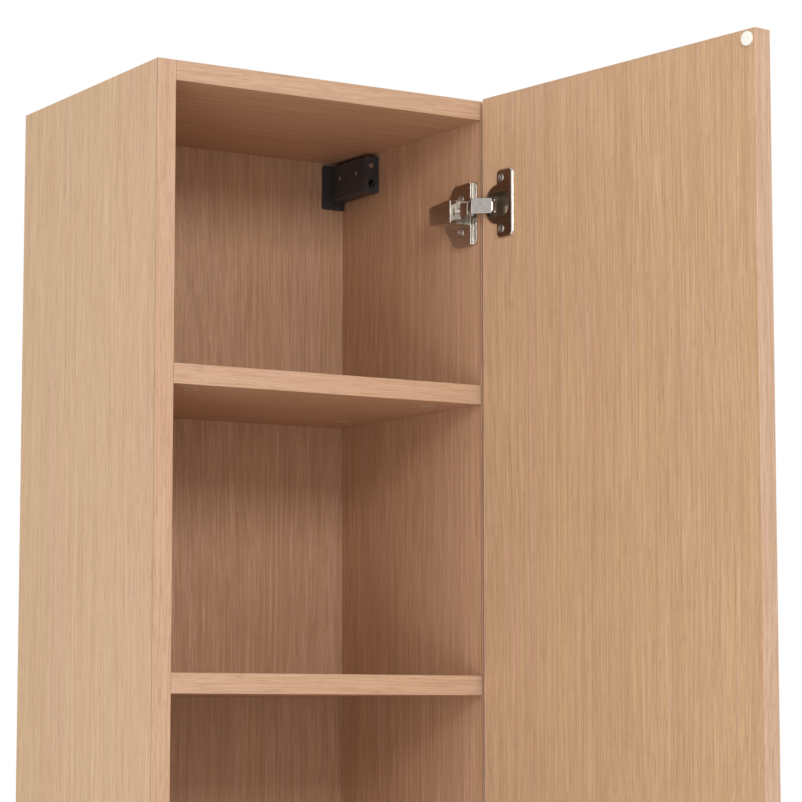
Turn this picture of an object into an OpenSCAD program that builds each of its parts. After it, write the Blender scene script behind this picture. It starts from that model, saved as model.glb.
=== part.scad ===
// Tall wall-hung cabinet with one full-overlay door on three cup hinges.
// +X to the right, +Y to the wall, +Z up. The origin is the centre of the underside.
// The door stands open at the angle that is the rest pose.

/* [Carcass] */
// Width over the two side panels
body_w = 356; // [300:2:450]
// Depth of the side panels, without the door
body_d = 282; // [260:2:320]
// Height of the side panels
body_h = 1629; // [1300:1:1900]
// Thickness of every board
board_t = 18; // [18:1:19]
// Thickness of the back panel
back_t = 8; // [6:1:9]
// Space between the back panel and the wall
back_void = 18.4; // [16:0.2:22]
// Thickness of the edge bands
band_t = 1; // [0.8:0.1:1.5]

/* [Shelves] */
// Distance from the side panel to the centre of a shelf cam
cam_inset = 36; // [34:1:40]
// Distance from the front to the first row of fittings
row_front = 37; // [37:1:40]
// Distance between the two rows of fittings
row_pitch = 160; // [128:32:160]

/* [Door] */
// Air between the closed door and the carcass
door_gap = 3; // [2.8:0.1:3.5]
// Reveal at each upright edge of the closed door
door_reveal = 1.5; // [1:0.1:2]
// Distance of the door's lower edge from the underside of the carcass
door_lift = 2; // [1:0.5:4]
// Distance of the bumpers from the free edge and from the top and bottom
bumper_inset = 8.5; // [7:0.5:10]

/* [Hinges] */
// Distance of the outer hinges from the top and bottom
hinge_inset = 103; // [80:0.5:120]
// Height of the middle hinge above the middle of the body, to clear the shelf there
middle_hinge_shift = 80; // [70:5:180]

/* [Hangers] */
// Length of the hanger cover, from its front to the back panel
hanger_l = 71; // [64:1:76]
// Height of the hanger cover
hanger_h = 36; // [35:0.5:40]
// Width of the hanger cover
hanger_w = 16.5; // [16:0.5:20]

/* [Hidden] */
$fn = 48;

fit = 0.1;            // clearance of fittings in their holes, per side
slip = 0.2;           // clearance at the ends of shelves and panels
wood = "BurlyWood";
inner_w = body_w - 2 * board_t;
side_x = body_w - board_t;                  // inner face of the right side panel
back_y = body_d - back_void - back_t;       // front face of the back panel
groove_d = 8;                               // depth of the groove that holds the back panel
shelf_count = 5;
shelf_pitch = (body_h - board_t) / (shelf_count + 1);
rows = [row_front, row_front + row_pitch];

cam_d = 15;
cam_h = 12.2;
bolt_d = 6;
bolt_hole_d = 7;
bolt_thread_d = 5;
bolt_thread_l = 10;
dowel_d = 8;
dowel_l = 30;
dowel_rows = [row_front + 32, row_front + row_pitch - 32];

door_open = 97;                             // angle by which the door stands open at rest
axis_from_edge = 7.6;                       // turning axis, from the door's edge
axis_depth = 12;                            // turning axis, behind the door's inner face
door_w = body_w - 2 * door_reveal;
door_h = body_h - door_lift;
door_edge_x = body_w - door_reveal;         // hinge-side edge of the closed door
axis_x = door_edge_x - axis_from_edge;
axis_y = -door_gap - axis_depth;
bumper_d = 12.7;
bumper_h = 2.5;

hinge_z = [body_h - hinge_inset, body_h / 2 + middle_hinge_shift, hinge_inset];
screw_spacing = 32;                         // mounting plate screws, on the cabinet side
cup_screw_spacing = 48;
cup_screw_offset = 6;                       // from the cup's centre, away from the edge
cup_d = 35;
cup_from_edge = 22.5;                       // centre of the cup, from the door's edge
cup_x = door_edge_x - cup_from_edge;
cup_bore = 12;                              // depth of the cup's bore in the door
cup_h = 11.6;
cup_depth = 11;                             // depth of the pocket in the cup
ring_t = 1.4;                               // rim of the cup, above the door's inner face
flange_t = 2.2;
plate_t = 1.6;                              // front lip of the mounting plate
pad_t = 4.6;                                // thickness of the plate behind its front lip
arm_w = 15.6;
ear_w = 11.6;                               // width of the arm over its two ears
arm_skin = 1.2;
outer_axis = [side_x - 16.2, -9.4];         // arm pivot of the outer link
inner_axis = [side_x - 12.7, -3.9];         // arm pivot of the inner link
pin_d = 2.4;

hanger_top = body_h - board_t - 3.7;        // top of the hanger cover
hanger_skin = 1.4;
hanger_flange_w = 24.8;
hanger_flange_t = 4;
hanger_flange_drop = 43.4;                  // lower edge of the flange, below the top of the cover
height_screw_drop = 8.5;                    // below the top of the cover
depth_screw_drop = 26.8;
hanger_front = back_y - hanger_l;
hook_t = 4;
hook_h = 8;

// ---- placing ----

// From the corner frame (left, front, underside) to the part's frame
module place() translate([-body_w / 2, -body_d / 2, 0]) children();

// Things drawn on the closed door, turned to the open door
module on_door() place()
    translate([axis_x, axis_y, 0]) rotate([0, 0, door_open]) translate([-axis_x, -axis_y, 0])
        children();

// Mirrors a thing drawn at the right side panel to the left side panel
module to_left() translate([body_w, 0, 0]) mirror([1, 0, 0]) children();

// ---- plain shapes ----

// A cylinder along X that starts at x = 0
module rod_x(d, l) rotate([0, 90, 0]) cylinder(d = d, h = l);

// A cylinder along Y that starts at y = 0
module rod_y(d, l) rotate([-90, 0, 0]) cylinder(d = d, h = l);

// Extrudes a shape in the XZ plane along +Y
module along_y(l) rotate([90, 0, 0]) mirror([0, 0, 1]) linear_extrude(l) children();

// A flat rectangle with round corners
module round_rect(w, h, r) {
    translate([r, 0]) square([w - 2 * r, h]);
    translate([0, r]) square([w, h - 2 * r]);
    for (x = [r, w - r], y = [r, h - r]) translate([x, y]) circle(r = r);
}

// The cross of a screw head, cut into the plane z = 0 and below
module cross_recess(d, depth) translate([0, 0, -depth]) {
    for (a = [0, 90]) rotate([0, 0, a]) translate([-d / 2, -d / 12, 0]) cube([d, d / 6, depth + 1]);
}

// A screw along -Z with a low round head, whose underside is at z = 0
module screw(head_d, head_h, shank_d, l) difference() {
    union() {
        cylinder(d = head_d, h = head_h - 0.4);
        translate([0, 0, head_h - 0.4]) cylinder(d1 = head_d, d2 = head_d - 0.8, h = 0.4);
        translate([0, 0, -l]) cylinder(d = shank_d, h = l + 0.2);
    }
    translate([0, 0, head_h]) cross_recess(head_d * 0.6, head_h * 0.7);
}

// ---- fittings between the boards ----

// Places a fitting at the four corners of a shelf whose underside is at z. The fitting
// is drawn at the left side panel, with x = 0 on the panel's inner face.
module at_corners(z) for (y = rows) {
    translate([board_t, y, z]) children();
    translate([side_x, y, z]) mirror([1, 0, 0]) children();
}

// Cam fitting in the underside of a board, with its channel towards the side panel
module cam() difference() {
    translate([cam_inset, 0, 0]) cylinder(d = cam_d - 2 * fit, h = cam_h);
    translate([cam_inset - cam_d, 0, board_t / 2]) rod_x(bolt_hole_d + 1, cam_d + 1);
    translate([cam_inset, 0, 0]) mirror([0, 0, 1]) cross_recess(9, 2.4);
}

module cam_hole() {
    translate([cam_inset, 0, -1]) cylinder(d = cam_d, h = cam_h + 1.3);
    translate([-1, 0, board_t / 2]) rod_x(bolt_hole_d, cam_inset + 1);
}

// Bolt from the side panel into the cam, with a collar on the panel's face and a ball end
module cam_bolt() translate([0, 0, board_t / 2]) {
    translate([-bolt_thread_l, 0, 0]) rod_x(bolt_thread_d - 2 * fit, bolt_thread_l);
    translate([fit, 0, 0]) rod_x(bolt_d, cam_inset - 4);
    translate([-fit, 0, 0]) rod_x(bolt_thread_d - 2 * fit, 1);
    translate([cam_inset - 3, 0, 0]) sphere(d = bolt_d);
}

module bolt_hole() translate([-bolt_thread_l - 0.5, 0, board_t / 2]) rod_x(bolt_thread_d, bolt_thread_l + 1.5);

module dowel() translate([-10, 0, board_t / 2]) rod_x(dowel_d - 2 * fit, dowel_l);

module dowel_hole() translate([-10.5, 0, board_t / 2]) rod_x(dowel_d, dowel_l + 1);

// Undersides of the shelves, the top panel and the bottom panel
function shelf_z(i) = body_h - board_t - i * shelf_pitch;

// Dowels of the top and bottom panels at the left side panel
module at_dowels(z) for (y = dowel_rows) {
    translate([board_t, y, z]) children();
    translate([side_x, y, z]) mirror([1, 0, 0]) children();
}

// ---- carcass ----

module back_groove() translate([board_t - groove_d - slip, back_y - slip, board_t - groove_d - slip])
    cube([inner_w + 2 * groove_d + 2 * slip, back_t + 2 * slip,
        body_h - 2 * board_t + 2 * groove_d + 2 * slip]);

// Holes that both side panels have
module side_holes() {
    back_groove();
    for (i = [1:shelf_count]) at_corners(shelf_z(i)) bolt_hole();
    for (z = [shelf_z(0), 0]) {
        at_corners(z) bolt_hole();
        at_dowels(z) dowel_hole();
    }
    hanger_screw_holes();
    to_left() hanger_screw_holes();
}

module side_board() translate([0, band_t, 0]) cube([board_t, body_d - band_t, body_h]);

module left_side() color(wood) place() difference() {
    side_board();
    side_holes();
}

module right_side() color(wood) place() difference() {
    translate([side_x, 0, 0]) side_board();
    side_holes();
    for (z = hinge_z) plate_screw_holes(z);
}

module top_panel() color(wood) place() difference() {
    translate([board_t, band_t, body_h - board_t]) cube([inner_w, body_d - band_t, board_t]);
    back_groove();
    translate([0, 0, body_h]) mirror([0, 0, 1]) at_corners(0) cam_hole();
    at_dowels(body_h - board_t) dowel_hole();
}

module bottom_panel() color(wood) place() difference() {
    translate([board_t, band_t, 0]) cube([inner_w, body_d - band_t, board_t]);
    back_groove();
    at_corners(0) cam_hole();
    at_dowels(0) dowel_hole();
}

module back_panel() color(wood) place() difference() {
    translate([board_t - groove_d, back_y, board_t - groove_d])
        cube([inner_w + 2 * groove_d, back_t, body_h - 2 * board_t + 2 * groove_d]);
    hook_window();
    to_left() hook_window();
}

// Window in the back panel through which a hanger's hook passes
module hook_window() translate([side_x - 15, back_y - 1, hanger_top - 38.5]) cube([13, back_t + 2, 26]);

module shelf(i) color(wood) place() difference() {
    translate([board_t + slip, band_t, shelf_z(i)])
        cube([inner_w - 2 * slip, back_y - band_t - slip, board_t]);
    at_corners(shelf_z(i)) cam_hole();
}

module side_band() cube([board_t, band_t - 0.02, body_h]);

module left_edge_band() color(wood) place() side_band();

module right_edge_band() color(wood) place() translate([side_x, 0, 0]) side_band();

module board_band(z) translate([board_t + slip, 0, z]) cube([inner_w - 2 * slip, band_t - 0.02, board_t]);

module top_edge_band() color(wood) place() board_band(body_h - board_t);

module bottom_edge_band() color(wood) place() board_band(0);

module shelf_edge_bands() color(wood) place() for (i = [1:shelf_count]) board_band(shelf_z(i));

module shelf_cams() color("silver") place() for (i = [1:shelf_count]) at_corners(shelf_z(i)) cam();

module shelf_cam_bolts() color("silver") place()
    for (i = [1:shelf_count]) at_corners(shelf_z(i)) cam_bolt();

module corner_cams() color("silver") place() {
    at_corners(0) cam();
    translate([0, 0, body_h]) mirror([0, 0, 1]) at_corners(0) cam();
}

module corner_cam_bolts() color("silver") place() for (z = [0, shelf_z(0)]) at_corners(z) cam_bolt();

module corner_dowels() color("tan") place() for (z = [0, shelf_z(0)]) at_dowels(z) dowel();

// ---- door, drawn closed ----

module door_panel() color(wood) on_door() difference() {
    translate([door_reveal + band_t, -door_gap - board_t, door_lift + band_t])
        cube([door_w - 2 * band_t, board_t, door_h - 2 * band_t]);
    for (z = hinge_z) translate([cup_x, -door_gap, z]) cup_holes();
}

module cup_holes() {
    translate([0, 1, 0]) mirror([0, 1, 0]) rod_y(cup_d, cup_bore + 1);
    for (s = [-1, 1]) translate([-cup_screw_offset, 1, s * cup_screw_spacing / 2])
        mirror([0, 1, 0]) rod_y(3.4, 12);
}

module door_edge_bands() color(wood) on_door()
    translate([door_reveal, -door_gap - board_t, door_lift]) difference() {
        cube([door_w, board_t, door_h]);
        translate([band_t - 0.02, -1, band_t - 0.02])
            cube([door_w - 2 * band_t + 0.04, board_t + 2, door_h - 2 * band_t + 0.04]);
    }

module door_bumpers() color("whitesmoke") on_door()
    for (z = [door_lift + bumper_inset, body_h - bumper_inset])
        translate([door_reveal + bumper_inset, -door_gap, z]) bumper();

// Round pad with a rounded rim
module bumper() rotate([-90, 0, 0]) rotate_extrude() {
    square([bumper_d / 2 - 1.2, bumper_h]);
    square([bumper_d / 2, bumper_h - 1.2]);
    translate([bumper_d / 2 - 1.2, bumper_h - 1.2]) circle(r = 1.2);
}

// ---- hinges: shapes at height z, drawn at the right side panel ----

// Outline of the mounting plate, as distance from the front and height
plate_half = [[6, 26.8], [6.8, 28.8], [8.6, 29.5], [38, 29.5], [42, 27], [55.5, 9.5]];
plate_screw_y = 28;
plate_drop = 2.3;                           // height setting of the plates, below the arms
pad_front = 11.3;
rail_front = 15.6;

module plate_outline() translate([0, -plate_drop]) polygon(mirror_half(plate_half));

// Extrudes a shape in the YZ plane from the inner face of the right side, t towards the door side
module on_side(x, t) translate([side_x - x, 0, 0]) rotate([90, 0, -90]) mirror([1, 0, 0])
    linear_extrude(t) children();

module plate_screw_holes(z) for (s = [-1, 1])
    translate([side_x - 1, plate_screw_y, z - plate_drop + s * screw_spacing / 2]) rod_x(bolt_thread_d, 13);

module hinge_plate(z) color("silver") place() translate([0, 0, z]) difference() {
    union() {
        on_side(0, plate_t) plate_outline();
        on_side(plate_t, pad_t - plate_t) intersection() {
            plate_outline();
            translate([pad_front, -40]) square([50, 80]);
        }
        on_side(pad_t, 4.2) translate([rail_front, -5.2]) square([36, 10.4]);
    }
    for (s = [-1, 1]) translate([side_x, plate_screw_y, s * screw_spacing / 2 - plate_drop]) {
        translate([-10, 0, 0]) rod_x(5.2, 11);
        translate([-10, 0, 0]) rod_x(9.2, 10 - pad_t + 1.6);
    }
    for (y = arm_screw_y) translate([side_x - 12, y, 0]) rod_x(3.2, 9);
}

arm_screw_y = [18.4, 42];

module hinge_arm(z) color("silver") place() translate([0, 0, z]) difference() {
    union() {
        on_arm(arm_w) translate([arm_web_x, ear_rear - 1]) square([9.6, arm_rear - ear_rear + 1]);
        on_arm(ear_w) ear_outline();
    }
    on_arm(arm_w - 2 * arm_skin) translate([arm_web_x + arm_skin, ear_rear]) square([20, arm_rear]);
    on_arm(ear_w - 2 * arm_skin) ear_hollow();
    pin_hole(outer_axis, pin_d);
    pin_hole(inner_axis, pin_d);
    for (y = arm_screw_y) translate([arm_web_x - 1, y, 0]) rod_x(3.2, 4);
}

// A shape in the XY plane, w high and centred on the hinge
module on_arm(w) translate([0, 0, -w / 2]) linear_extrude(w) children();

arm_web_x = side_x - 14.6;
arm_rear = 56;
ear_rear = 15;
ear_r = 2.1;

// Outline of the two narrower ears, with the pivots at their front
module ear_outline() {
    for (p = [outer_axis, inner_axis]) translate(p) circle(r = ear_r);
    polygon([[arm_web_x, 2], outer_axis - [ear_r, 0], outer_axis + [1.8, -1.59],
        inner_axis + [ear_r, 0], [arm_web_x + 9.6, 5], [arm_web_x + 9.6, ear_rear], [arm_web_x, ear_rear]]);
}

// Hollow between the ears: open at the front and towards the side panel
module ear_hollow() {
    translate([arm_web_x + arm_skin, 1]) square([20, ear_rear - 1]);
    translate([arm_web_x - 10, -20]) square([40, 21.01]);
}

// Cap over the arm: wide at its front, tapering to the rear
module hinge_cap(z) color("silver") place() translate([0, 0, z]) difference() {
    intersection() {
        on_side(pad_t + 0.4, cap_h) polygon(mirror_half(cap_half));
        on_arm(30) cap_profile();
    }
    on_side(pad_t, cap_h - 0.8) polygon(mirror_half([[cap_front + 1.2, 9.8], [arm_rear + 2, 8]]));
    on_side(pad_t, 10.2) translate([cap_front - 1, -7.9]) square([4, 15.8]);
}

cap_front = 22.6;
cap_rear = 66;
cap_h = 15;
cap_half = [[cap_front, 11], [30, 11], [58, 8.8], [62.6, 7.6], [65.2, 5], [cap_rear, 2]];

function mirror_half(h) = concat(h, [for (i = [len(h) - 1:-1:0]) [h[i][0], -h[i][1]]]);

// Profile of the cap in the XY plane, rounded down at its rear
module cap_profile() translate([side_x - pad_t - cap_h - 0.4, 0]) polygon([[0, cap_front], [0, cap_rear - 10],
    [1.4, cap_rear - 4.6], [4.6, cap_rear - 1.2], [9, cap_rear], [20, cap_rear], [20, cap_front]]);

// Cup: pot with a pocket and a flange, drawn on the closed door
module hinge_cup(z) color("silver") on_door() translate([cup_x, -door_gap, z]) difference() {
    union() {
        mirror([0, 1, 0]) rod_y(cup_d - 2 * fit, cup_h);
        rod_y(37, ring_t);
        flange();
    }
    pocket();
    for (s = [-1, 1]) translate([-cup_screw_offset, 0, s * cup_screw_spacing / 2]) {
        translate([0, -1, 0]) rod_y(4.2, 5);
        translate([0, flange_t - 1, 0]) rod_y(7.4, 3);
    }
}

// Flange plate with rounded-down edges
module flange() translate([-21.5, 0, 0]) rotate([-90, 0, 0]) mirror([0, 1, 0]) hull() {
    for (l = [[0, 0.6], [0.5, 1.5], [1.4, flange_t]])
        translate([l[0], -32.2 + l[0], 0]) linear_extrude(l[1]) round_rect(22.6 - 2 * l[0], 64.4 - 2 * l[0], 4.6 - l[0]);
}

module pocket() translate([0, -cup_depth, 0]) rotate([-90, 0, 0]) linear_extrude(20) intersection() {
    circle(d = cup_d - 1.2);
    translate([-17, -11.3]) square([34, 22.6]);
}

module hinge_screw_set(p) for (z = hinge_z) translate([0, 0, z]) for (s = [-1, 1]) translate([0, 0, s * p])
    children();

module hinge_plate_screws() color("silver") place() hinge_screw_set(screw_spacing / 2)
    translate([side_x - pad_t + 1.6, plate_screw_y, -plate_drop]) rotate([0, -90, 0]) screw(8.6, 1.8, 4.8, 14);

module hinge_arm_screws() color("silver") place() for (z = hinge_z, y = arm_screw_y)
    translate([arm_web_x, y, z]) rotate([0, -90, 0]) screw(5.6, 1.4, 3, 9);

module hinge_cup_screws() color("silver") on_door() hinge_screw_set(cup_screw_spacing / 2)
    translate([cup_x - cup_screw_offset, -door_gap + flange_t - 1, 0]) rotate([-90, 0, 0])
        screw(7, 1.4, 3.2, 11);

// ---- links, drawn at the rest pose ----

outer_end = outer_axis + [16.5, -13];
inner_knee = inner_axis + [9, -15.7];
inner_end = inner_axis + [12.5, -14.6];
outer_w = 14.2;
link_skin = 1;
web_back = 2.5;                             // from the web's end to the cup pivot
inner_w_link = 8.4;
stub_l = 2.2;

// A strip of thickness t from a to b, with round ends
module strip(a, b, t) translate(a) rotate(atan2(b[1] - a[1], b[0] - a[0])) {
    translate([0, -t / 2]) square([norm(b - a), t]);
    for (x = [0, norm(b - a)]) translate([x, 0]) circle(d = t);
}

module pin_hole(p, d) translate([p[0], p[1], -arm_w]) cylinder(d = d, h = 2 * arm_w);

// Outer link: a channel whose web shows, with a pivot at each end of its two flanks
module outer_link(z) color("gainsboro") place() translate([0, 0, z]) difference() {
    union() {
        on_arm(outer_w) on_link() translate([0, -3.5]) square([link_l - web_back, link_skin]);
        difference() {
            on_arm(outer_w) on_link() flank();
            on_arm(outer_w - 2 * link_skin) translate(outer_axis - [30, 40]) square(70);
        }
    }
    pin_hole(outer_axis, pin_d + 0.1);
    pin_hole(outer_end, pin_d);
}

link_l = norm(outer_end - outer_axis);

// Turns the line y = 0 onto the outer link, from its arm pivot to its cup pivot
module on_link() translate(outer_axis)
    rotate(atan2(outer_end[1] - outer_axis[1], outer_end[0] - outer_axis[0])) children();

module flank() {
    circle(r = 2.2);
    translate([link_l, 0]) circle(r = 1.7);
    polygon([[0, -3.5], [link_l - web_back, -3.5], [link_l + 1.3, -1.1], [link_l, 1.7], [link_l - 4, 0.8],
        [4, 0.8], [0, 2.2], [-2.2, 0]]);
}

module inner_link(z) color("silver") place() translate([0, 0, z]) difference() {
    on_arm(inner_w_link) {
        strip(inner_axis, inner_knee, 1.8);
        strip(inner_knee, inner_end, 1.8);
        translate(inner_axis) circle(r = 2.2);
        translate(inner_end) circle(r = 1.4);
    }
    pin_hole(inner_axis, pin_d + 0.1);
    pin_hole(inner_end, cup_pin_d);
}

cup_pin_d = 1.6;

module pins(p, d, l) for (z = hinge_z) translate([p[0], p[1], z - l / 2]) cylinder(d = d, h = l);

module hinge_arm_pins() color("dimgray") place() {
    pins(outer_axis, pin_d, outer_w + 1.4);
    pins(inner_axis, pin_d, ear_w);
}

// Short pins in the flanks of the outer links, at their cup end
module outer_link_pins() color("dimgray") place() for (z = hinge_z, s = [-1, 1])
    translate([outer_end[0], outer_end[1], z + s * (outer_w - stub_l) / 2 - stub_l / 2])
        cylinder(d = pin_d, h = stub_l);

module inner_link_pins() color("dimgray") place() pins(inner_end, cup_pin_d, inner_w_link);

// ---- hangers, drawn at the right side panel ----

hanger_x = side_x - hanger_w;
screw_x = side_x - 8.5;
fixing_y = [back_y - 53, back_y - 21];
fixing_z = hanger_top - 14.5;

module hanger_screw_holes() for (y = fixing_y) translate([side_x - 1, y, fixing_z]) rod_x(4.4, 12);

module hanger_cover() color([0.13, 0.11, 0.10]) place() difference() {
    union() {
        difference() {
            hanger_shell();
            translate([hanger_x + hanger_skin, hanger_front + hanger_skin, hanger_top - hanger_h + hanger_skin])
                cube([hanger_w, hanger_l, hanger_h - 2 * hanger_skin]);
        }
        for (y = fixing_y) translate([hanger_x + 1, y, fixing_z]) rod_x(7.6, hanger_w - 5.4);
    }
    translate([screw_x, hanger_front - 1, hanger_top - height_screw_drop]) rod_y(7, 4);
    translate([screw_x, hanger_front - 1, hanger_top - depth_screw_drop]) rod_y(8, 4);
    for (y = fixing_y) translate([hanger_x - 1, y, fixing_z]) {
        rod_x(5.6, 1 + fixing_seat);
        rod_x(4.4, hanger_w);
    }
}

fixing_seat = 1.8;                          // from the cover's face to the seat of its screws

module hanger_shell() {
    translate([hanger_x, hanger_front, hanger_top - hanger_h])
        along_y(hanger_l - 2) round_rect(hanger_w - slip, hanger_h, 1.8);
    translate([side_x - hanger_flange_w, back_y - hanger_flange_t, hanger_top - hanger_flange_drop])
        along_y(hanger_flange_t) round_rect(hanger_flange_w - slip, hanger_flange_drop + 1, 2);
}

// Steel frame screwed to the side panel inside the cover, with a recess for the carriage
module hanger_frame() color("silver") place() difference() {
    translate([side_x - 4 - slip, hanger_front + 6, hanger_top - hanger_h + 2]) cube([4, 62, hanger_h - 4]);
    translate([side_x - 6, hanger_front + 10, hanger_top - hanger_h + 3.5]) cube([4.4, 54, 17.5]);
    for (y = fixing_y) translate([side_x - 10, y, fixing_z]) rod_x(4.4, 12);
}

module hanger_carriage() color("silver") place() difference() {
    translate([screw_x - 4.4, hanger_front + 36, hanger_top - depth_screw_drop - 5.6]) cube([8.3, 14, 11.2]);
    translate([screw_x - hook_t / 2 - fit, hanger_front + 30, hanger_top - depth_screw_drop - hook_h / 2 - fit])
        cube([hook_t + 2 * fit, 30, hook_h + 2 * fit]);
}

// Hook: a bar through the carriage, with a nose that points down behind the wall rail
module hanger_hook() color("silver") place() difference() {
    translate([screw_x - hook_t / 2, 0, hanger_top - depth_screw_drop]) rotate([90, 0, 90])
        linear_extrude(hook_t) polygon([
            [hanger_front + 26, -hook_h / 2], [hanger_front + 26, hook_h / 2],
            [body_d - 4, hook_h / 2], [body_d - 1, hook_h / 2 - 3], [body_d - 1, -16],
            [body_d - 4, -16], [body_d - 4, -hook_h / 2]]);
    translate([screw_x, hanger_front + 25, hanger_top - depth_screw_drop]) rod_y(2.7, 22);
}

module height_screw() color("silver") place()
    translate([screw_x, hanger_front + 3, hanger_top - height_screw_drop]) rotate([90, 0, 0])
        screw(6, 2.4, 3.4, 22);

module depth_screw() color("silver") place()
    translate([screw_x, hanger_front + 12, hanger_top - depth_screw_drop]) rotate([90, 0, 0])
        screw(6, 2.2, 2.5, 21);

module hanger_fixing_screws() color("silver") {
    place() fixing_pair();
    place() to_left() fixing_pair();
}

module fixing_pair() for (y = fixing_y) translate([hanger_x + fixing_seat, y, fixing_z]) rotate([0, -90, 0])
    screw(5, 1.2, 4.2, 24);

module mirrored() mirror([1, 0, 0]) children();

left_side();
right_side();
top_panel();
bottom_panel();
back_panel();
shelf(1);  // shelf_1
shelf(2);  // shelf_2
shelf(3);  // shelf_3
shelf(4);  // shelf_4
shelf(5);  // shelf_5
left_edge_band();
right_edge_band();
top_edge_band();
bottom_edge_band();
shelf_edge_bands();
shelf_cams();
shelf_cam_bolts();
corner_cams();
corner_cam_bolts();
corner_dowels();
door_panel();
door_edge_bands();
door_bumpers();
hinge_plate(hinge_z[0]);  // hinge_plate_top
hinge_plate(hinge_z[1]);  // hinge_plate_middle
hinge_plate(hinge_z[2]);  // hinge_plate_bottom
hinge_arm(hinge_z[0]);  // hinge_arm_top
hinge_arm(hinge_z[1]);  // hinge_arm_middle
hinge_arm(hinge_z[2]);  // hinge_arm_bottom
hinge_cap(hinge_z[0]);  // hinge_cap_top
hinge_cap(hinge_z[1]);  // hinge_cap_middle
hinge_cap(hinge_z[2]);  // hinge_cap_bottom
hinge_cup(hinge_z[0]);  // hinge_cup_top
hinge_cup(hinge_z[1]);  // hinge_cup_middle
hinge_cup(hinge_z[2]);  // hinge_cup_bottom
outer_link(hinge_z[0]);  // outer_link_top
outer_link(hinge_z[1]);  // outer_link_middle
outer_link(hinge_z[2]);  // outer_link_bottom
inner_link(hinge_z[0]);  // inner_link_top
inner_link(hinge_z[1]);  // inner_link_middle
inner_link(hinge_z[2]);  // inner_link_bottom
hinge_arm_pins();
outer_link_pins();
inner_link_pins();
hinge_plate_screws();
hinge_arm_screws();
hinge_cup_screws();
mirrored() hanger_cover();  // hanger_left_cover
mirrored() hanger_frame();  // hanger_left_frame
mirrored() hanger_carriage();  // hanger_left_carriage
mirrored() hanger_hook();  // hanger_left_hook
mirrored() height_screw();  // hanger_left_height_screw
mirrored() depth_screw();  // hanger_left_depth_screw
hanger_cover();  // hanger_right_cover
hanger_frame();  // hanger_right_frame
hanger_carriage();  // hanger_right_carriage
hanger_hook();  // hanger_right_hook
height_screw();  // hanger_right_height_screw
depth_screw();  // hanger_right_depth_screw
hanger_fixing_screws();
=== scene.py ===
import math

import bmesh
import bpy
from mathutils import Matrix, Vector

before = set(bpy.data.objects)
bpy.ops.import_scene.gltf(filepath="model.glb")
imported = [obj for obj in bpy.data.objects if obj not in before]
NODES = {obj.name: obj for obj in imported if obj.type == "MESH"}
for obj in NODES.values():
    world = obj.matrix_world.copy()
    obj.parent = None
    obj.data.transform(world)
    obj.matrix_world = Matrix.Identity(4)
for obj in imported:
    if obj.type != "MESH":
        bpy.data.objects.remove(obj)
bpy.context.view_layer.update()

# ---------------------------------------------------------------- camera

data = bpy.data.cameras.new("camera")
camera = bpy.data.objects.new("camera", data)
bpy.context.scene.collection.objects.link(camera)
bpy.context.scene.camera = camera
data.sensor_width = 36
data.lens = 126.42
data.shift_y = 0.02
data.clip_start, data.clip_end = 0.05, 50
camera.location = (-1.265, -2.31354, 1.04935)
PITCH, YAW = 0.10799, -0.55168
camera.rotation_euler = (math.pi / 2 + PITCH, 0, YAW)


# ---------------------------------------------------------------- node helpers


class Mat:
    """A material under construction: small calls that add and link shader nodes."""

    def __init__(self, name):
        self.mat = bpy.data.materials.new(name)
        self.mat.use_nodes = True
        self.nt = self.mat.node_tree
        self.bsdf = self.nt.nodes["Principled BSDF"]

    def node(self, kind, **props):
        n = self.nt.nodes.new("ShaderNode" + kind)
        for k, v in props.items():
            setattr(n, k, v)
        return n

    def put(self, socket, value):
        if isinstance(value, bpy.types.NodeSocket):
            self.nt.links.new(value, socket)
        else:
            socket.default_value = value

    def math(self, op, a, b=0.0):
        n = self.node("Math", operation=op)
        for i, v in enumerate((a, b)):
            self.put(n.inputs[i], v)
        return n.outputs[0]

    def vmath(self, op, a, b):
        n = self.node("VectorMath", operation=op)
        self.put(n.inputs[0], a)
        self.put(n.inputs[1], b)
        return n.outputs[0]

    def combine(self, x, y, z):
        n = self.node("CombineXYZ")
        for i, v in enumerate((x, y, z)):
            self.put(n.inputs[i], v)
        return n.outputs[0]

    def noise(self, vector, scale=1.0, detail=2.0, rough=0.5):
        n = self.node("TexNoise")
        self.put(n.inputs["Vector"], vector)
        n.inputs["Scale"].default_value = scale
        n.inputs["Detail"].default_value = detail
        n.inputs["Roughness"].default_value = rough
        return n.outputs["Fac"]

    def ramp(self, fac, lo, hi):
        """0 below lo, 1 above hi, smooth between."""
        n = self.node("MapRange", interpolation_type="SMOOTHSTEP")
        self.put(n.inputs[0], fac)
        n.inputs[1].default_value = lo
        n.inputs[2].default_value = hi
        return n.outputs[0]

    def mix(self, fac, a, b):
        n = self.node("Mix", data_type="RGBA")
        self.put(n.inputs[0], fac)
        self.put(n.inputs[6], a)
        self.put(n.inputs[7], b)
        return n.outputs[2]

    def coords(self):
        return self.node("TexCoord").outputs["Object"]

    def bump(self, height, distance, strength=1.0):
        n = self.node("Bump")
        n.inputs["Strength"].default_value = strength
        n.inputs["Distance"].default_value = distance
        self.put(n.inputs["Height"], height)
        self.put(self.bsdf.inputs["Normal"], n.outputs[0])

    def set(self, **values):
        for k, v in values.items():
            self.put(self.bsdf.inputs[k.replace("_", " ")], v)


def rgb(r, g, b):
    """sRGB 0 to 255 as a linear colour."""
    lin = [((c / 255 + 0.055) / 1.055) ** 2.4 if c > 10 else c / 255 / 12.92 for c in (r, g, b)]
    return (*lin, 1.0)


# ---------------------------------------------------------------- wood

SWIZZLE = {"Z": (0, 1, 2), "X": (1, 2, 0), "Y": (2, 0, 1)}


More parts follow.
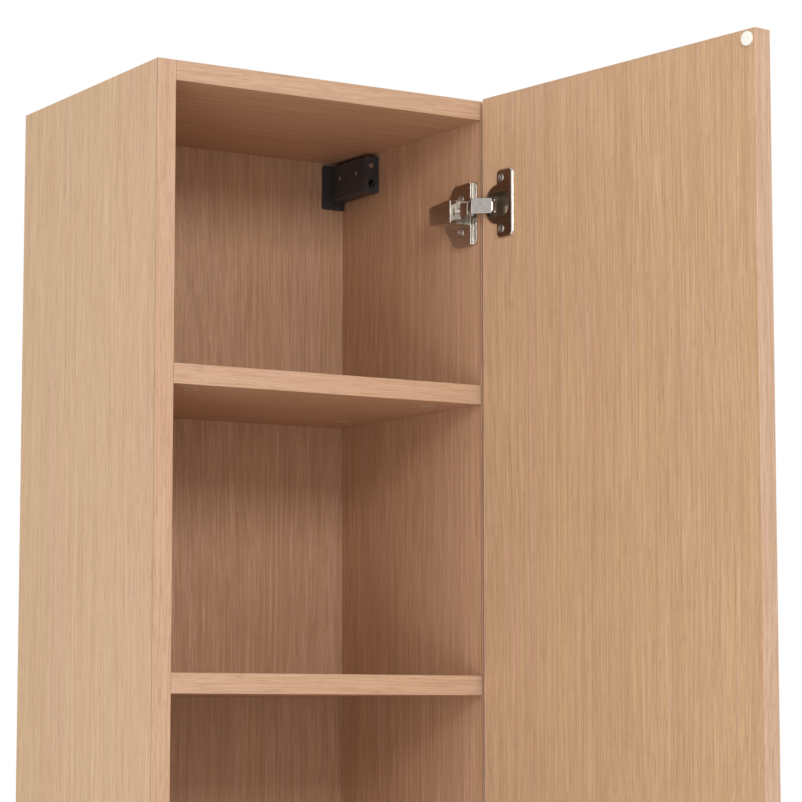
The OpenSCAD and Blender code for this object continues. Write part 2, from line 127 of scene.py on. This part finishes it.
def wood(name, along, end, seed, gold=(210, 176, 133), pink=(210, 171, 142), dark=(178, 137, 102),
         contrast=1.0, rough=0.46, gloss=0.36, seam=None):
    """Straight-grained veneer. The grain runs along one axis, and along another on the end faces.

    seam: where along Y the glue line of an edge band shows."""
    m = Mat(name)
    split = m.node("SeparateXYZ")
    m.put(split.inputs[0], m.coords())
    xyz = split.outputs
    main = m.combine(*[xyz[i] for i in SWIZZLE[along]])
    ends = m.combine(*[xyz[i] for i in SWIZZLE[end]])
    normal = m.node("SeparateXYZ")
    m.put(normal.inputs[0], m.node("NewGeometry").outputs["True Normal"])
    facing = m.math("ABSOLUTE", normal.outputs["XYZ".index(along)])
    pick = m.node("Mix", data_type="VECTOR")
    m.put(pick.inputs[0], m.math("GREATER_THAN", facing, 0.7))
    m.put(pick.inputs[4], main)
    m.put(pick.inputs[5], ends)
    p = m.vmath("ADD", pick.outputs[1], (seed * 1.37, seed * 0.61, seed * 2.3))

    # two scales of wander of the grain, then streaks from broad to fine
    slow = m.math("SUBTRACT", m.noise(m.vmath("MULTIPLY", p, (5, 5, 1.3)), detail=1), 0.5)
    quick = m.math("SUBTRACT", m.noise(m.vmath("MULTIPLY", p, (26, 26, 5)), detail=1), 0.5)
    wander = m.math("ADD", m.math("MULTIPLY", slow, 0.03), m.math("MULTIPLY", quick, 0.0008))
    q = m.vmath("ADD", p, m.combine(wander, wander, 0.0))
    band = m.noise(m.vmath("MULTIPLY", q, (24, 24, 0.6)), detail=2)
    tint = m.noise(m.vmath("MULTIPLY", q, (230, 230, 3.4)), detail=2, rough=0.6)
    mid = m.noise(m.vmath("MULTIPLY", q, (130, 130, 2.2)), detail=2, rough=0.6)
    line = m.noise(m.vmath("MULTIPLY", q, (560, 560, 4.5)), detail=2, rough=0.6)
    fine = m.noise(m.vmath("MULTIPLY", q, (1150, 1150, 14)), detail=2, rough=0.6)
    pore = m.ramp(m.noise(m.vmath("MULTIPLY", q, (1500, 1500, 60)), detail=1), 0.58, 0.7)

    hue = m.math("ADD", m.math("MULTIPLY", band, 0.25), m.math("MULTIPLY", tint, 0.75))
    colour = m.mix(m.ramp(hue, 0.34, 0.66), rgb(*gold), rgb(*pink))
    for streak, lo, hi, amount in ((mid, 0.36, 0.74, 0.2), (line, 0.38, 0.7, 0.5), (fine, 0.36, 0.68, 0.5)):
        shade = m.math("MULTIPLY", m.ramp(streak, lo, hi), amount * contrast)
        colour = m.mix(shade, colour, rgb(*dark))
    colour = m.mix(m.math("MULTIPLY", pore, 0.35), colour, rgb(150, 110, 78))
    height = m.math("SUBTRACT", m.math("MULTIPLY", line, 0.6), m.math("MULTIPLY", pore, 0.9))
    height = m.math("ADD", height, m.math("MULTIPLY", fine, 0.4))
    if seam is not None:
        glue = m.math("MULTIPLY", m.math("LESS_THAN", xyz[1], seam), 0.6)
        colour = m.mix(glue, colour, rgb(104, 74, 50))
    m.set(Base_Color=colour, Specular_IOR_Level=gloss)
    m.set(Roughness=m.math("ADD", m.math("MULTIPLY", line, 0.14), rough - 0.07))
    m.bump(height, 0.00012, 0.7)
    return m.mat


# ---------------------------------------------------------------- metals and plastics


def plated(name, base, rough, grain=0.0, mark=0.0, inside=None):
    """Plated steel: fine unevenness in the plating, faint rub marks, and duller patches.

    inside: a point and a direction; what lies behind that plane, the hinge cup's pocket, is painted darker
    as painted shade in the recess, and made duller."""
    m = Mat(name)
    co = m.coords()
    patch = m.noise(co, 260, 3)
    fine = m.noise(co, 2600, 2)
    rub = m.ramp(m.noise(m.vmath("MULTIPLY", co, (900, 900, 6000)), detail=1), 0.62, 0.7)
    r = m.math("ADD", rough, m.math("MULTIPLY", patch, 0.1))
    r = m.math("ADD", r, m.math("MULTIPLY", rub, mark))
    tone = m.mix(m.ramp(patch, 0.3, 0.7), (*[c * 0.88 for c in base], 1), (*base, 1))
    # painted shade: behind the plane the colour darkens towards brown, and the roughness rises
    if inside:
        depth = m.node("VectorMath", operation="DOT_PRODUCT")
        m.put(depth.inputs[0], m.vmath("SUBTRACT", co, inside[0]))
        m.put(depth.inputs[1], inside[1])
        shade = m.ramp(m.math("MULTIPLY", depth.outputs["Value"], -1.0), 0.0006, 0.0035)
        tone = m.mix(shade, tone, (0.36, 0.29, 0.22, 1))
        r = m.math("ADD", r, m.math("MULTIPLY", shade, 0.2))
    m.set(Base_Color=tone, Metallic=1.0, Roughness=r)
    m.bump(m.math("ADD", patch, m.math("MULTIPLY", fine, 0.2 + grain)), 0.00006, 0.6)
    return m.mat


def moulded(name, colour, rough):
    """Moulded plastic with a fine spark-eroded texture."""
    m = Mat(name)
    co = m.coords()
    grain = m.noise(co, 3200, 2)
    flow = m.noise(co, 60, 2)
    tone = m.mix(m.ramp(flow, 0.3, 0.7), (*[c * 0.85 for c in colour[:3]], 1), colour)
    m.set(Base_Color=tone, Roughness=m.math("ADD", rough - 0.05, m.math("MULTIPLY", grain, 0.12)),
          Specular_IOR_Level=0.5)
    m.bump(grain, 0.00005, 0.6)
    return m.mat


def soft_pad(name):
    """Translucent soft plastic of a door bumper."""
    m = Mat(name)
    haze = m.noise(m.coords(), 400, 2)
    m.set(Base_Color=m.mix(m.ramp(haze, 0.2, 0.8), rgb(238, 235, 226), rgb(243, 240, 232)),
          Roughness=m.math("ADD", 0.22, m.math("MULTIPLY", haze, 0.12)))
    m.set(IOR=1.46, Subsurface_Weight=0.3, Subsurface_Radius=(0.002, 0.002, 0.002))
    m.bump(haze, 0.00002, 0.3)
    return m.mat


def assign(obj, mat):
    for s in obj.material_slots:
        s.material = mat


GLUE_LINE = -0.1394
# WARM, darker and pinker, goes on the boards seen within the carcass, and PALE, lighter, on the lit outer
# left side: partly the veneer's own tone, partly painted shade within and painted light on the lit side
WARM = {"gold": (214, 175, 138), "pink": (214, 169, 146), "contrast": 1.7}
PALE = {"gold": (219, 187, 144), "pink": (219, 182, 151), "contrast": 0.75}
BAND = {"gold": (212, 177, 146), "pink": (213, 173, 149), "contrast": 0.75}
PALEST = {"gold": (222, 187, 156), "pink": (222, 184, 160), "contrast": 0.75}
DOOR = {"contrast": 1.15}
palettes = {
    "left_side": {**PALE, "seam": GLUE_LINE}, "right_side": {**WARM, "seam": GLUE_LINE},
    "back_panel": {**WARM, "rough": 0.38, "gloss": 0.7}, "door_edge_bands": PALEST, "door_panel": DOOR,
    "top_panel": WARM, "shelf_1": WARM, "shelf_2": WARM, "shelf_3": WARM, "shelf_4": WARM, "shelf_5": WARM,
}

# grain along Z on the uprights; along X on everything that lies flat
boards = {
    "left_side": ("Z", "Y", 1.0), "right_side": ("Z", "Y", 2.3), "back_panel": ("Z", "X", 3.1),
    "door_panel": ("Z", "X", 4.7), "top_panel": ("X", "Y", 5.2), "bottom_panel": ("X", "Y", 6.4),
    "shelf_1": ("X", "Y", 7.1), "shelf_2": ("X", "Y", 8.9), "shelf_3": ("X", "Y", 9.6),
    "shelf_4": ("X", "Y", 10.2), "shelf_5": ("X", "Y", 11.8),
}
for node, (along, end, seed) in boards.items():
    assign(NODES[node], wood(node + "_veneer", along, end, seed, **palettes.get(node, {})))
bands = {
    "left_edge_band": ("Z", "X", 12.3), "right_edge_band": ("Z", "X", 13.9),
    "top_edge_band": ("X", "Y", 14.1), "bottom_edge_band": ("X", "Y", 15.5),
    "shelf_edge_bands": ("X", "Y", 16.2), "door_edge_bands": ("Z", "Y", 17.7),
}
for node, (along, end, seed) in bands.items():
    assign(NODES[node], wood(node + "_veneer", along, end, seed, **palettes.get(node, BAND)))

# the door's inner face as it stands open, from the hinge axis; the hinge cup's pocket behind it is painted
# darker, as painted shade
turn = math.radians(97)
axis_x, axis_y = 0.1689, -0.156
axis_to_face = 0.012
door_normal = (-math.sin(turn), math.cos(turn), 0)
door_point = (axis_x + axis_to_face * door_normal[0], axis_y + axis_to_face * door_normal[1], 0)
nickel = plated("nickel_plate", (0.62, 0.575, 0.52), 0.09, mark=0.1)
nickel_cup = plated("nickel_cup", (0.66, 0.61, 0.55), 0.16, mark=0.1, inside=(door_point, door_normal))
zinc = plated("zinc_casting", (0.66, 0.65, 0.63), 0.34, grain=0.6, mark=0.1)
cam_metal = plated("cam_casting", (0.82, 0.70, 0.58), 0.5, grain=0.6, mark=0.1)
steel = plated("zinc_plated_steel", (0.64, 0.62, 0.58), 0.2, grain=0.2, mark=0.15)
black = moulded("black_plastic", (0.044, 0.042, 0.047, 1), 0.42)
beech = wood("beech_dowel", "X", "Y", 20.0, gold=(214, 184, 146), pink=(208, 176, 138))
pad = soft_pad("clear_pad")
HINGE = ("hinge_plate_", "hinge_arm_", "hinge_cap_", "hinge_cup_", "outer_link_")
for name, obj in NODES.items():
    if name.startswith((*HINGE, "inner_link_")):
        assign(obj, nickel_cup if name.startswith("hinge_cup_") else nickel)
    if "screw" in name or "pins" in name:
        assign(obj, steel)
    if "_frame" in name or "_carriage" in name or "_hook" in name:
        assign(obj, zinc)
    if "_cam" in name:
        assign(obj, cam_metal)
    if name.endswith("_cover"):
        assign(obj, black)
assign(NODES["corner_dowels"], beech)
assign(NODES["door_bumpers"], pad)


# ---------------------------------------------------------------- rounded edges


def rounded(obj, width, dissolve=True):
    """Rounds the sharp edges.

    dissolve: joins flat facets first. Some parts skip it, because their rounding would cross itself."""
    weld = obj.modifiers.new("weld", "WELD")
    weld.merge_threshold = 0.000002
    if dissolve:
        flat = obj.modifiers.new("flat", "DECIMATE")
        flat.decimate_type = "DISSOLVE"
        flat.angle_limit = math.radians(0.5)
    bevel = obj.modifiers.new("bevel", "BEVEL")
    bevel.width = width
    bevel.segments = 2
    bevel.limit_method = "ANGLE"
    bevel.angle_limit = math.radians(40)
    bevel.harden_normals = True
    bevel.use_clamp_overlap = False


BOARD_EDGE = 0.00012
BAND_EDGE = 0.00035
COVER_EDGE = 0.0002
HINGE_EDGE = 0.0003
PIN_EDGE = 0.0001

for node in boards:
    rounded(NODES[node], BOARD_EDGE)
for node in bands:
    rounded(NODES[node], BAND_EDGE)
for name, obj in NODES.items():
    if name.endswith("_cover"):
        rounded(obj, COVER_EDGE, dissolve=False)
    if name.startswith(HINGE):
        width = PIN_EDGE if name.endswith(("screws", "pins")) else HINGE_EDGE
        rounded(obj, width, dissolve=not name.startswith("outer_link_"))

# ---------------------------------------------------------------- floor, light, background

mesh = bpy.data.meshes.new("floor")
bm = bmesh.new()
bmesh.ops.create_grid(bm, x_segments=1, y_segments=1, size=4.0)
bm.to_mesh(mesh)
bm.free()
floor = bpy.data.objects.new("floor", mesh)
bpy.context.scene.collection.objects.link(floor)
m = Mat("floor_paint")
mottle = m.noise(m.coords(), 30, 3)
m.set(Base_Color=m.mix(m.ramp(mottle, 0.3, 0.7), rgb(232, 231, 229), rgb(238, 237, 235)), Roughness=0.7)
mesh.materials.append(m.mat)


def area(name, at, aim, size, power, colour=(1, 1, 1)):
    d = bpy.data.lights.new(name, "AREA")
    d.shape = "RECTANGLE"
    d.size, d.size_y = size
    d.energy = power
    d.color = colour
    o = bpy.data.objects.new(name, d)
    o.location = at
    o.rotation_euler = (Vector(aim) - Vector(at)).to_track_quat("-Z", "Y").to_euler()
    bpy.context.scene.collection.objects.link(o)
    return o


area("key", (-0.8, -2.95, 2.35), (0, 0, 1.3), (0.7, 0.7), 31)
area("left", (-3.0, -1.0, 1.5), (0, 0, 1.2), (1.6, 2.2), 20)
area("low", (-1.8, -2.0, 0.3), (0, 0, 1.5), (1.2, 0.6), 9)

world = bpy.data.worlds.new("studio")
bpy.context.scene.world = world
world.use_nodes = True
wn = world.node_tree
back = wn.nodes["Background"]
back.inputs["Color"].default_value = (1, 1, 1, 1)
seen = wn.nodes.new("ShaderNodeLightPath")
strength = wn.nodes.new("ShaderNodeMapRange")
strength.inputs[3].default_value = 0.67
strength.inputs[4].default_value = 1.0
wn.links.new(seen.outputs["Is Camera Ray"], strength.inputs[0])
wn.links.new(strength.outputs[0], back.inputs["Strength"])
bpy.context.scene.view_settings.view_transform = "Standard"
